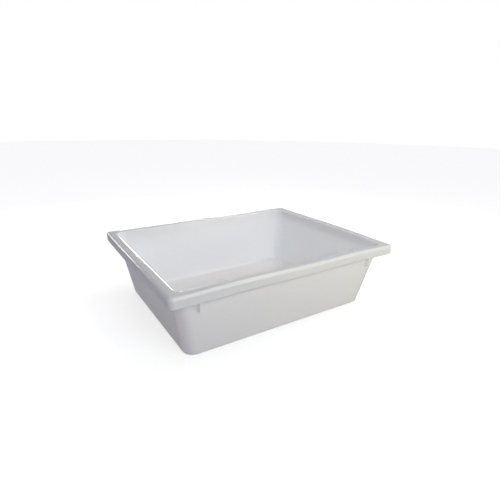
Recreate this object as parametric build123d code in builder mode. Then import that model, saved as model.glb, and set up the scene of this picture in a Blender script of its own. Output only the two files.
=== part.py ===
from build123d import *
import math
import os

os.makedirs("parts", exist_ok=True)

# A deep developing tray, moulded in one piece from milky polyethylene.
# Millimetres. The origin is the centre of the underside, +X runs along the long side and +Z is up.

# ---- Driving dimensions ----
length = 500.0            # over the rim, along X
width = 390.0             # over the rim, along Y
height = 140.0
wall_thickness = 3.5      # square to the leaning wall
floor_thickness = 3.5
rim_thickness = 3.0       # of the flange and of the skirt
overhang = 14.0           # from the skirt's outer face to the wall's outer face, at the top
draft_inset = 24.0        # how far each wall leans in between the top and the underside
skirt_height = 19.5

wall_corner_top = 24.0    # outer corner radii of the walls, in plan
wall_corner_base = 21.0
rim_corner = 9.0          # corner radius of the skirt, in plan
base_edge = 6.0           # rounding between the walls and the underside
rim_edge = 5.5            # rounding along the rim's outer top edge
mouth_edge = 3.0          # rounding between the flange and the inside walls
skirt_lip = 0.9           # rounding of the skirt's lower edges
rim_root = 2.0            # rounding between the flange's underside and the walls

lug_spacing = 390.0       # between the two stacking lugs of a long side
lug_thickness = 3.0
lug_bottom = 97.0         # height of the lugs' lower ends, where a tray above would rest
lug_setback = 12.0        # from the skirt's outer face to a lug's outer edge
lug_tip = 2.0             # rounding of a lug's lower outer corner

gate_diameter = 14.0      # shallow dimple around the moulding gate, in the underside
gate_depth = 0.8
gate_stub = 4.0           # diameter of the trimmed stub inside it
gate_stub_height = 0.5

# ---- Worked out from those ----
slope = draft_inset / height
wall_across = wall_thickness * math.hypot(1, slope)   # wall thickness measured level
top_length = length - 2 * overhang
top_width = width - 2 * overhang
base_length = top_length - 2 * draft_inset
base_width = top_width - 2 * draft_inset
flange_underside = height - rim_thickness
skirt_foot = height - skirt_height


def inset_at(z):
    """How far the wall's outer face stands in from the skirt's outer face, at height z."""
    return overhang + (height - z) * slope


def is_on_skirt(edge):
    """Whether an edge stands further out than the walls do at the top."""
    middle = edge.center()
    return abs(middle.X) > top_length / 2 or abs(middle.Y) > top_width / 2


# ---- The solid outline of the walls, from underside to top ----
with BuildPart() as outer_form:
    with BuildSketch(Plane.XY):
        RectangleRounded(base_length, base_width, wall_corner_base)
    with BuildSketch(Plane.XY.offset(height)):
        RectangleRounded(top_length, top_width, wall_corner_top)
    loft(ruled=True)
    fillet(outer_form.faces().sort_by(Axis.Z)[0].edges(), radius=base_edge)

# ---- The hollow that the tray holds its bath in, run past the top so that it cuts clean ----
past_top = 5.0
with BuildPart() as cavity_form:
    with BuildSketch(Plane.XY.offset(floor_thickness)):
        low = 2 * (wall_across - floor_thickness * slope)
        RectangleRounded(base_length - low, base_width - low, wall_corner_base - wall_thickness)
    with BuildSketch(Plane.XY.offset(height + past_top)):
        high = 2 * (wall_across - past_top * slope)
        RectangleRounded(top_length - high, top_width - high, wall_corner_top - wall_thickness)
    loft(ruled=True)
    fillet(cavity_form.faces().sort_by(Axis.Z)[0].edges(), radius=base_edge - floor_thickness)

# ---- The gap between the skirt and the walls, open downwards ----
with BuildPart() as channel_form:
    with BuildSketch(Plane.XY.offset(skirt_foot)):
        RectangleRounded(length - 2 * rim_thickness, width - 2 * rim_thickness, rim_corner - rim_thickness)
    extrude(amount=skirt_height - rim_thickness)
    fillet(channel_form.faces().sort_by(Axis.Z)[-1].edges(), radius=rim_edge - rim_thickness)
    add(outer_form.part, mode=Mode.SUBTRACT)
    root = channel_form.faces().sort_by(Axis.Z)[-1].inner_wires()[0].edges()
    fillet(root, radius=rim_root)

# ---- Stacking lugs: upright fins that grow out of the long walls, under the rim ----
with BuildPart() as lug_form:
    lug_edge = width / 2 - lug_setback
    buried = wall_across / 2
    with BuildSketch(Plane.YZ.offset(lug_spacing / 2)):
        with BuildLine():
            Polyline(
                (width / 2 - inset_at(lug_bottom) - buried, lug_bottom),
                (lug_edge, lug_bottom),
                (lug_edge, flange_underside),
                (width / 2 - inset_at(flange_underside) - buried, flange_underside),
                close=True,
            )
        make_face()
    extrude(amount=lug_thickness / 2, both=True)
    tip = lug_form.edges().filter_by(Axis.X).group_by(Axis.Z)[0].sort_by(Axis.Y)[-1]
    fillet(tip, radius=lug_tip)
    mirror(about=Plane.YZ)
    mirror(about=Plane.XZ)

# ---- The tray ----
with BuildPart() as tray_shell:
    # Walls and rim, still solid
    add(outer_form.part)
    with BuildSketch(Plane.XY.offset(skirt_foot)):
        RectangleRounded(length, width, rim_corner)
    extrude(amount=skirt_height)
    fillet(tray_shell.faces().sort_by(Axis.Z)[-1].edges(), radius=rim_edge)

    # The gap under the rim, and the rounded lower edges of the skirt
    add(channel_form.part, mode=Mode.SUBTRACT)
    foot_edges = tray_shell.edges().filter_by_position(Axis.Z, skirt_foot, skirt_foot)
    fillet(foot_edges.filter_by(is_on_skirt), radius=skirt_lip)

    # The inside, with its mouth rounded over into the flange
    add(cavity_form.part, mode=Mode.SUBTRACT)
    mouth = tray_shell.faces().filter_by(Plane.XY).sort_by(Axis.Z)[-1].inner_wires()[0]
    fillet(mouth.edges(), radius=mouth_edge)

    add(lug_form.part)

    # The moulding gate's dimple and its trimmed stub, in the middle of the underside
    with BuildSketch(Plane.XY):
        Circle(gate_diameter / 2)
        Circle(gate_stub / 2, mode=Mode.SUBTRACT)
    extrude(amount=gate_depth, mode=Mode.SUBTRACT)
    with BuildSketch(Plane.XY):
        Circle(gate_stub / 2)
    extrude(amount=gate_depth - gate_stub_height, mode=Mode.SUBTRACT)

tray_shell.part.label = "tray_shell"
export_step(tray_shell.part, "parts/tray_shell.step")
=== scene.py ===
import math

import bmesh
import bpy
from mathutils import Matrix, Vector


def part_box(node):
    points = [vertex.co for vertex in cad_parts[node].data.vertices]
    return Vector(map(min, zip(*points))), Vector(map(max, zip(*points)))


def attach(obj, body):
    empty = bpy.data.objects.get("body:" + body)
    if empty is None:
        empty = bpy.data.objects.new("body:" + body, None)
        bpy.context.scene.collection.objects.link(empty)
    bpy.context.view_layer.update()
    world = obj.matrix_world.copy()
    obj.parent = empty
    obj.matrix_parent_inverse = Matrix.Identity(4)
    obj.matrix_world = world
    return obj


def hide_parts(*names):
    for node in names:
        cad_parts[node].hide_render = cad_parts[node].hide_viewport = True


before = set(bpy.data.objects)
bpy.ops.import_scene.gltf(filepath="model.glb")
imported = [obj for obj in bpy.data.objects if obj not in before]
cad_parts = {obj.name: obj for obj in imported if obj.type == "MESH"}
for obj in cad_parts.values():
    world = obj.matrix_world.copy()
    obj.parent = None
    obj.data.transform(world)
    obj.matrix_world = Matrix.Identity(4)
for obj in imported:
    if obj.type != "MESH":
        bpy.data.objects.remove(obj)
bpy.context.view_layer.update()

# A deep developing tray, moulded in one piece from milky polyethylene.
# Lengths are in metres. Its three outer sizes come from the frame, and its section is given here.
mm = 0.001
low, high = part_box("tray_shell")
length, width, height = high - low

wall = 3.5 * mm               # square to the leaning wall
floor_thickness = 3.5 * mm
rim_thickness = 3.0 * mm      # of the flange and of the skirt
overhang = 14.0 * mm          # from the skirt's outer face to the wall's outer face, at the top
draft_inset = 24.0 * mm       # how far each wall leans in between the top and the underside
skirt_height = 19.5 * mm
wall_corner_top = 24.0 * mm   # outer corner radii, in plan
wall_corner_base = 21.0 * mm
rim_corner = 9.0 * mm
base_edge = 6.0 * mm          # roundings of the section
floor_edge = 8.0 * mm
rim_edge = 5.5 * mm
mouth_edge = 3.0 * mm
skirt_lip = 0.9 * mm
rim_root = 2.0 * mm

lug_centre = 195.0 * mm       # from the middle of a long side
lug_reach = 2.4 * mm          # from a lug's middle to where its side has run out into the wall
lug_bottom = 97.0 * mm
lug_inset = 12.0 * mm         # from the skirt's outer face to a lug's outer edge
lug_side_run = 1.1 * mm       # over which a lug's side rises, and over which its foot does
lug_foot_run = 1.4 * mm

gate_radius = 7.0 * mm        # dimple round the moulding gate, under the floor
gate_depth = 0.8 * mm
stub_radius = 2.0 * mm
stub_drop = 0.5 * mm

rim_wave = 0.9 * mm           # warp of a used tray, up and down along the rim
wall_draw = 0.8 * mm          # and inwards, in the middle of the long walls

slope = draft_inset / height
lean = math.degrees(math.atan(slope))
tilt = math.hypot(1, slope)
wall_across = wall * tilt


# ---- Camera ----

def make_camera():
    """The near corner stands left of the middle, seen from a little above the rim."""
    azimuth = math.radians(-32.2)
    elevation = math.radians(22.36)
    roll = math.radians(0.76)
    distance = 1.6605 * length
    target = Vector((0, 0, height / 2))
    back = Vector((
        math.sin(azimuth) * math.cos(elevation),
        -math.cos(azimuth) * math.cos(elevation),
        math.sin(elevation),
    ))
    right = Vector((0, 0, 1)).cross(back).normalized()
    up = back.cross(right)
    rolled_right = right * math.cos(roll) + up * math.sin(roll)
    rolled_up = up * math.cos(roll) - right * math.sin(roll)
    data = bpy.data.cameras.new("camera")
    data.sensor_width = 36
    data.lens = 26.4
    data.shift_x = 0.0117
    data.shift_y = 0.0343
    data.clip_start = 0.01
    data.clip_end = 50
    camera = bpy.data.objects.new("camera", data)
    turn = Matrix((rolled_right, rolled_up, back)).transposed().to_4x4()
    camera.matrix_world = Matrix.Translation(target + back * distance) @ turn
    bpy.context.scene.collection.objects.link(camera)
    bpy.context.scene.camera = camera


# ---- Section of the moulding ----
# A station is (inset from the skirt's outer face, height, corner radius in plan).

def outer_face(z):
    """Inset of the wall's outer face at height z."""
    return overhang + (height - z) * slope


def inner_face(z):
    """Inset of the wall's inner face at height z."""
    return outer_face(z) + wall_across


def outer_corner(z):
    """Plan corner radius of the wall's outer face at height z."""
    return wall_corner_base + (wall_corner_top - wall_corner_base) * z / height


def arc(centre, radius, start, stop, steps):
    """A round of the section. At 0 degrees it points inwards, at 90 up and at 180 outwards."""
    turns = [math.radians(start + (stop - start) * k / steps) for k in range(steps + 1)]
    return [(centre[0] + radius * math.cos(t), centre[1] + radius * math.sin(t)) for t in turns]


def between(start, stop, steps):
    """Points on the way from start to stop, without them, closer together towards both ends."""
    shares = [(1 - math.cos(math.pi * k / steps)) / 2 for k in range(1, steps)]
    return [tuple(a + (b - a) * s for a, b in zip(start, stop)) for s in shares]


def inside_stations():
    """From the rounding at the floor's edge, up the inner wall, to the flange's top."""
    z = floor_thickness + floor_edge
    floor_round = arc((inner_face(z) + floor_edge * tilt, z), floor_edge, 270, 180 + lean, 9)
    z = height - mouth_edge
    mouth_round = arc((inner_face(z) - mouth_edge * tilt, z), mouth_edge, lean, 90, 8)
    points = floor_round + between(floor_round[-1], mouth_round[0], 22) + mouth_round
    return [(u, z, outer_corner(z) - wall - (u - inner_face(z))) for u, z in points]


def rim_stations():
    """From the rim's outer top edge, down the skirt and up its inside, to the flange's underside."""
    foot = height - skirt_height
    edge_round = arc((rim_edge, height - rim_edge), rim_edge, 90, 180, 10)
    lip_out = arc((skirt_lip, foot + skirt_lip), skirt_lip, 180, 270, 4)
    lip_in = arc((rim_thickness - skirt_lip, foot + skirt_lip), skirt_lip, 270, 360, 4)
    hollow_round = arc((rim_edge, height - rim_edge), rim_edge - rim_thickness, 180, 90, 6)
    points = edge_round + between(edge_round[-1], lip_out[0], 6) + lip_out + lip_in
    points += between(lip_in[-1], hollow_round[0], 5) + hollow_round
    return [(u, z, rim_corner - u) for u, z in points]


def outside_stations():
    """From the flange's underside, down the outer wall, to the rounding at the underside's edge."""
    z = height - rim_thickness - rim_root
    root_round = arc((outer_face(z) - rim_root * tilt, z), rim_root, 90, lean, 5)
    z = base_edge
    base_round = arc((outer_face(z) + base_edge * tilt, z), base_edge, 180 + lean, 270, 9)
    lug_rows = 16
    start = lug_bottom + 12 * mm
    stop = lug_bottom - 4 * mm
    levels = [start + (stop - start) * k / lug_rows for k in range(lug_rows + 1)]
    lug_run = [(outer_face(z), z) for z in levels]
    points = root_round + between(root_round[-1], lug_run[0], 8) + lug_run
    points += between(lug_run[-1], base_round[0], 16) + base_round
    return [(u, z, outer_corner(z) - (u - outer_face(z))) for u, z in points]


# ---- Plan of the moulding: one loop of points for each station ----

corner_steps = 14
lug_columns = [0.4, 1.0, 1.35, 1.6, 1.8, 2.15, 2.6, 3.2, 4.0]   # mm to each side of a lug's middle


def long_side(half):
    """X of the columns on a long side, whose straight part reaches half each way. They crowd at the lugs."""
    middle_steps = 20
    end_steps = 4
    least_end = 6 * mm
    lug_end = lug_centre + lug_columns[-1] * mm
    squeeze = min(1, half / (lug_end + least_end))
    lug_end *= squeeze
    lug = [lug_centre - s * mm for s in reversed(lug_columns)] + [lug_centre + s * mm for s in lug_columns]
    middle = [lug[0] * math.sin(math.pi / 2 * k / middle_steps) for k in range(1, middle_steps)]
    end = [lug_end + (half - lug_end) * k / end_steps for k in range(1, end_steps + 1)]
    right = [x * squeeze for x in middle + lug] + end
    return [-x for x in reversed(right)] + [0.0] + right


def short_side(half):
    """Y of the columns on a short side, closer together towards the corners."""
    steps = 36
    return [-half * math.cos(math.pi * k / steps) for k in range(steps + 1)]


def corner(x, y, radius, start):
    """The inner points of a quarter circle round (x, y)."""
    turns = [math.radians(start + 90 * k / corner_steps) for k in range(1, corner_steps)]
    return [(x + radius * math.cos(t), y + radius * math.sin(t)) for t in turns]


def loop(inset, radius):
    """Points anticlockwise round a rounded rectangle, from the left end of its front side."""
    half_x = length / 2 - inset
    half_y = width / 2 - inset
    xs = long_side(half_x - radius)
    ys = short_side(half_y - radius)
    points = [(x, -half_y) for x in xs]
    points += corner(half_x - radius, radius - half_y, radius, 270)
    points += [(half_x, y) for y in ys]
    points += corner(half_x - radius, half_y - radius, radius, 0)
    points += [(x, half_y) for x in reversed(xs)]
    points += corner(radius - half_x, half_y - radius, radius, 90)
    points += [(-half_x, y) for y in reversed(ys)]
    points += corner(radius - half_x, radius - half_y, radius, 180)
    return points


def smooth(share):
    """0 up to 1, level at both ends."""
    share = max(0.0, min(1.0, share))
    return share * share * (3 - 2 * share)


def lug_share(x, z):
    """How far a point of a long outer wall is drawn out into a stacking lug, from 0 to 1."""
    off = abs(abs(x) - lug_centre)
    side = smooth((lug_reach - off) / lug_side_run)
    foot = smooth((z - lug_bottom) / lug_foot_run + 0.5)
    return side * foot


def lugged(station):
    """A loop of the outer wall with its four stacking lugs drawn out."""
    inset, z, radius = station
    depth = max(0.0, inset - lug_inset)
    return [(x, y + math.copysign(depth * lug_share(x, z), y), z) for x, y in loop(inset, radius)]


def gate_rings(edge_ring):
    """Loops with edge_ring's count of points round the moulding gate, a shallow dimple with a stub in it."""
    step = 0.25 * mm
    stub = gate_depth - stub_drop
    profile = [
        (gate_radius * 1.8, 0.0), (gate_radius + step, 0.0), (gate_radius, step * 0.4),
        (gate_radius - step, gate_depth - step), (gate_radius - 2 * step, gate_depth),
        (stub_radius + 2 * step, gate_depth), (stub_radius + step, gate_depth - step * 0.5),
        (stub_radius, stub + step * 0.3), (stub_radius - step, stub),
    ]
    turns = [math.atan2(y, x) for x, y, _ in edge_ring]
    return [[(r * math.cos(t), r * math.sin(t), z) for t in turns] for r, z in profile]


def shrunk(ring, share):
    """The loop drawn in towards the middle, at the same height."""
    return [(x * share, y * share, z) for x, y, z in ring]


def settle(x, y, z):
    """The slight warp of a used tray: long walls drawn in a little, and a gentle wave along the rim."""
    raised = smooth(z / height)
    along = x / (length / 2)
    aside = y / (width / 2)
    y -= wall_draw * aside * (1 - along * along) * raised
    long_wave = math.cos(2.1 * math.pi * (along + 0.13) + 0.9 * (1 - aside)) * aside * aside
    short_wave = math.cos(math.pi * (aside + 0.15) + 0.7 * (1 - along)) * along * along
    z += rim_wave * (long_wave + short_wave) * smooth((z / height - 0.45) / 0.55)
    return x, y, z


def tray_rings():
    """The loops from the floor's middle to the skirt's inside, and those from there to the underside."""
    inside = inside_stations()
    rim = rim_stations()
    outside = outside_stations()
    flange_top = between(inside[-1], rim[0], 6)
    flange_under = between(rim[-1], outside[0], 4)
    plain = [[(x, y, z) for x, y in loop(inset, radius)] for inset, z, radius in inside + flange_top + rim]
    outer = [lugged(station) for station in flange_under + outside]
    floor = [shrunk(plain[0], s) for s in (0.02, 0.15, 0.35, 0.55, 0.75, 0.9, 0.97)]
    under = [shrunk(outer[-1], s) for s in (0.97, 0.9, 0.75, 0.55, 0.35, 0.2)]
    return floor + plain, outer + under + gate_rings(outer[-1])


def make_tray():
    """One closed mesh. Its "outside" attribute is 1 on the walls' outer faces and the underside, else 0."""
    inner, outer = tray_rings()
    rings = inner + outer
    count = len(rings[0])
    points = [settle(*point) for ring in rings for point in ring]
    faces = []
    for start in range(0, (len(rings) - 1) * count, count):
        for i in range(count):
            j = (i + 1) % count
            faces.append((start + i, start + j, start + count + j, start + count + i))
    faces.append(tuple(reversed(range(count))))
    faces.append(tuple(range(len(points) - count, len(points))))
    mesh = bpy.data.meshes.new("tray")
    mesh.from_pydata(points, [], faces)
    outside = mesh.attributes.new("outside", "FLOAT", "POINT")
    outside.data.foreach_set("value", [0.0] * (len(inner) * count) + [1.0] * (len(outer) * count))
    weld = 0.02 * mm
    work = bmesh.new()
    work.from_mesh(mesh)
    bmesh.ops.remove_doubles(work, verts=work.verts, dist=weld)
    bmesh.ops.recalc_face_normals(work, faces=work.faces)
    work.to_mesh(mesh)
    work.free()
    mesh.shade_smooth()
    tray = bpy.data.objects.new("tray", mesh)
    bpy.context.scene.collection.objects.link(tray)
    return tray


# ---- Material ----

class Graph:
    """Short calls for building a node tree."""

    def __init__(self, tree):
        self.nodes = tree.nodes
        self.links = tree.links

    def add(self, kind, inputs=(), **settings):
        """A node with its settings. Its inputs are given as numbers or as other nodes' outputs."""
        node = self.nodes.new(kind)
        for name, value in settings.items():
            setattr(node, name, value)
        for key, value in dict(inputs).items():
            if isinstance(value, bpy.types.NodeSocket):
                self.links.new(value, node.inputs[key])
            else:
                node.inputs[key].default_value = value
        return node

    def math(self, operation, a, b=0.0):
        return self.add("ShaderNodeMath", {0: a, 1: b}, operation=operation).outputs[0]

    def ramp(self, value, start, stop, low=0.0, high=1.0):
        """The value taken smoothly from start..stop to low..high."""
        inputs = {"Value": value, "From Min": start, "From Max": stop, "To Min": low, "To Max": high}
        return self.add("ShaderNodeMapRange", inputs, interpolation_type="SMOOTHSTEP").outputs[0]

    def noise(self, place, scale, detail=2.0):
        inputs = {"Vector": place, "Scale": scale, "Detail": detail}
        return self.add("ShaderNodeTexNoise", inputs).outputs["Fac"]

    def mix(self, share, a, b):
        node = self.add("ShaderNodeMix", data_type="RGBA")
        for socket, value in zip((node.inputs[0], node.inputs[6], node.inputs[7]), (share, a, b)):
            if isinstance(value, bpy.types.NodeSocket):
                self.links.new(value, socket)
            else:
                socket.default_value = value
        return node.outputs[2]


def scratches(graph, place, turn, spacing):
    """Fine straight scratches in patches, 0 to 1, running along X turned by the given angles."""
    stretch = (12, 1 / spacing, 1 / spacing)
    inputs = {"Vector": place, "Rotation": turn, "Scale": stretch}
    turned = graph.add("ShaderNodeMapping", inputs).outputs[0]
    streak = graph.noise(turned, 1.0, 1.0)
    patch = graph.noise(turned, 0.15, 2.0)
    return graph.math("MULTIPLY", graph.ramp(streak, 0.70, 0.76), graph.ramp(patch, 0.50, 0.66))


def polyethylene():
    """Waxy natural polyethylene, a little cloudy, scratched in use and scuffed round its foot."""
    material = bpy.data.materials.new("natural_polyethylene")
    material.use_nodes = True
    graph = Graph(material.node_tree)
    shader = graph.nodes["Principled BSDF"]
    place = graph.add("ShaderNodeTexCoord").outputs["Object"]
    level = graph.add("ShaderNodeSeparateXYZ", {0: place}).outputs["Z"]

    cloud = graph.noise(place, 11.0, 3.0)
    mottle = graph.noise(place, 160.0, 3.0)
    first = scratches(graph, place, (0.15, 0.1, 0.35), 0.9 * mm)
    second = scratches(graph, place, (0.5, -0.2, 1.35), 1.1 * mm)
    third = scratches(graph, place, (-0.2, 0.6, 2.4), 1.3 * mm)
    scratch = graph.math("MAXIMUM", graph.math("MAXIMUM", first, second), third)
    outside = graph.add("ShaderNodeAttribute", attribute_name="outside").outputs["Fac"]
    foot = graph.math("MULTIPLY", graph.ramp(level, 9 * mm, 0.5 * mm), outside)
    scuff = graph.math("MULTIPLY", foot, graph.ramp(graph.noise(place, 70.0, 4.0), 0.42, 0.62))

    milky = graph.mix(graph.ramp(cloud, 0.3, 0.7), (0.976, 0.98, 0.984, 1), (0.979, 0.98, 0.981, 1))
    colour = graph.mix(graph.math("MULTIPLY", scuff, 0.5), milky, (0.90, 0.89, 0.87, 1))
    graph.links.new(colour, shader.inputs["Base Color"])

    rough = graph.ramp(mottle, 0.3, 0.7, 0.13, 0.19)
    rough = graph.math("ADD", rough, graph.math("MULTIPLY", scratch, 0.15))
    rough = graph.math("ADD", rough, graph.math("MULTIPLY", scuff, 0.2))
    graph.links.new(rough, shader.inputs["Roughness"])

    peel = graph.math("MULTIPLY", graph.noise(place, 380.0, 2.0), 0.003)
    ripple = graph.math("MULTIPLY", graph.noise(place, 16.0, 1.0), 0.10)
    groove = graph.math("MULTIPLY", scratch, -0.012)
    relief = graph.math("ADD", graph.math("ADD", peel, ripple), groove)
    bump = graph.add("ShaderNodeBump", {"Strength": 1.0, "Distance": mm, "Height": relief})
    graph.links.new(bump.outputs["Normal"], shader.inputs["Normal"])

    shader.inputs["IOR"].default_value = 1.5
    shader.inputs["Subsurface Weight"].default_value = 1.0
    shader.inputs["Subsurface Radius"].default_value = (1.0, 0.97, 0.93)
    shader.inputs["Subsurface Scale"].default_value = 6 * mm
    return material


# ---- Studio ----

def glowing(name, base, glow):
    """A pale matt material that shows partly by its own light, so that it stays near white."""
    material = bpy.data.materials.new(name)
    material.use_nodes = True
    shader = material.node_tree.nodes["Principled BSDF"]
    shader.inputs["Base Color"].default_value = (base, base, base, 1)
    shader.inputs["Roughness"].default_value = 0.9
    shader.inputs["Specular IOR Level"].default_value = 0.0
    shader.inputs["Emission Color"].default_value = (1, 1, 1, 1)
    shader.inputs["Emission Strength"].default_value = glow
    return material


def stage_piece(name, points, faces, material):
    """A piece that only the camera sees, so that it neither lights the tray nor shades it."""
    mesh = bpy.data.meshes.new(name)
    mesh.from_pydata(points, [], faces)
    mesh.materials.append(material)
    piece = bpy.data.objects.new(name, mesh)
    piece.visible_diffuse = False
    piece.visible_glossy = False
    piece.visible_transmission = False
    piece.visible_shadow = False
    bpy.context.scene.collection.objects.link(piece)
    return piece


def make_stage():
    """A white backdrop that stands all round a pale floor. Returns the floor."""
    reach = 6.0
    sides = 64
    turns = [math.tau * k / sides for k in range(sides)]
    ring = [(reach * math.cos(t), reach * math.sin(t)) for t in turns]
    wall_points = [(x, y, z) for z in (0, reach) for x, y in ring]
    wall_faces = [(k, (k + 1) % sides, (k + 1) % sides + sides, k + sides) for k in range(sides)]
    floor_points = wall_points[:sides]
    floor_faces = [tuple(range(sides))]
    floor = stage_piece("floor", floor_points, floor_faces, glowing("pale_floor", 0.4, 0.62))
    stage_piece("backdrop", wall_points, wall_faces, glowing("white_backdrop", 0.0, 1.0))
    return floor


def light_floor(floor):
    """Even light from all over the sky on the floor alone, which leaves a soft shadow under the tray."""
    data = bpy.data.lights.new("floor_light", "SUN")
    data.energy = 2.2
    data.angle = math.radians(110)
    light = bpy.data.objects.new("floor_light", data)
    bpy.context.scene.collection.objects.link(light)
    lit = bpy.data.collections.new("lit_floor")
    lit.objects.link(floor)
    light.light_linking.receiver_collection = lit


def add_light(name, azimuth, elevation, distance, size, power, colour):
    """A panel aimed at the tray. Azimuth 0 is straight in front, and 90 is to the right."""
    turn = math.radians(azimuth)
    rise = math.radians(elevation)
    aim = Vector((0, 0, height / 2))
    back = Vector((math.sin(turn) * math.cos(rise), -math.cos(turn) * math.cos(rise), math.sin(rise)))
    data = bpy.data.lights.new(name, "AREA")
    data.shape = "RECTANGLE"
    data.size, data.size_y = size
    data.energy = power
    data.color = colour
    light = bpy.data.objects.new(name, data)
    facing = back.to_track_quat("Z", "Y").to_matrix().to_4x4()
    light.matrix_world = Matrix.Translation(aim + back * distance) @ facing
    light.visible_camera = False
    bpy.context.scene.collection.objects.link(light)
    return light


def light_tray():
    """Soft panels for the surfaces, and strips that show only as glints along the rim."""
    white = (1.0, 1.0, 1.0)
    add_light("front", 0, 30, 1.5, (1.6, 0.4), 10.2, (0.91, 1.0, 0.93))
    add_light("front_right", 30, 3, 1.1, (0.6, 0.5), 3.2, (1.0, 0.90, 0.50))
    add_light("overhead", 103, 64, 1.05, (0.6, 0.6), 4.0, (1.0, 0.89, 0.83))
    matt_panels = [
        add_light("right", 90, 8, 1.15, (0.6, 0.5), 5.9, (0.67, 0.85, 1.0)),
        add_light("back", 165, 4, 1.15, (0.6, 0.5), 5.4, (0.93, 0.90, 1.0)),
    ]
    for panel in matt_panels:
        panel.visible_glossy = False
    glints = [
        add_light("crest_glint", 162, 5, 1.6, (1.1, 0.10), 22, white),
        add_light("edge_glint", 205, 13, 1.6, (0.42, 0.10), 2.3, white),
    ]
    for glint in glints:
        glint.visible_diffuse = False


def make_room_light():
    """Soft light from six sides. Each side counts by the square of a direction's share of its axis."""
    sides = {   # axis: (colour from its low side, colour from its high side)
        0: ((0.55, 0.52, 0.49), (0.01, 0.01, 0.01)),
        1: ((0.01, 0.01, 0.25), (0.20, 0.23, 0.33)),
        2: ((0.25, 0.22, 0.15), (0.01, 0.01, 0.01)),
    }
    world = bpy.data.worlds.new("soft_room")
    world.use_nodes = True
    graph = Graph(world.node_tree)
    way = graph.add("ShaderNodeTexCoord").outputs["Generated"]
    parts = graph.add("ShaderNodeSeparateXYZ", {0: way}).outputs
    total = None
    for axis, (from_low, from_high) in sides.items():
        is_high = graph.math("GREATER_THAN", parts[axis], 0.0)
        colour = graph.mix(is_high, (*from_low, 1), (*from_high, 1))
        share = graph.math("MULTIPLY", parts[axis], parts[axis])
        lit = graph.add("ShaderNodeVectorMath", {0: colour, "Scale": share}, operation="SCALE").outputs[0]
        if total is None:
            total = lit
        else:
            total = graph.add("ShaderNodeVectorMath", {0: total, 1: lit}, operation="ADD").outputs[0]
    graph.links.new(total, graph.nodes["Background"].inputs["Color"])
    bpy.context.scene.world = world


make_camera()
tray = make_tray()
tray.data.materials.append(polyethylene())
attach(tray, "root")
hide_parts("tray_shell")

floor = make_stage()
make_room_light()
light_tray()
light_floor(floor)
bpy.context.scene.view_settings.view_transform = "Standard"
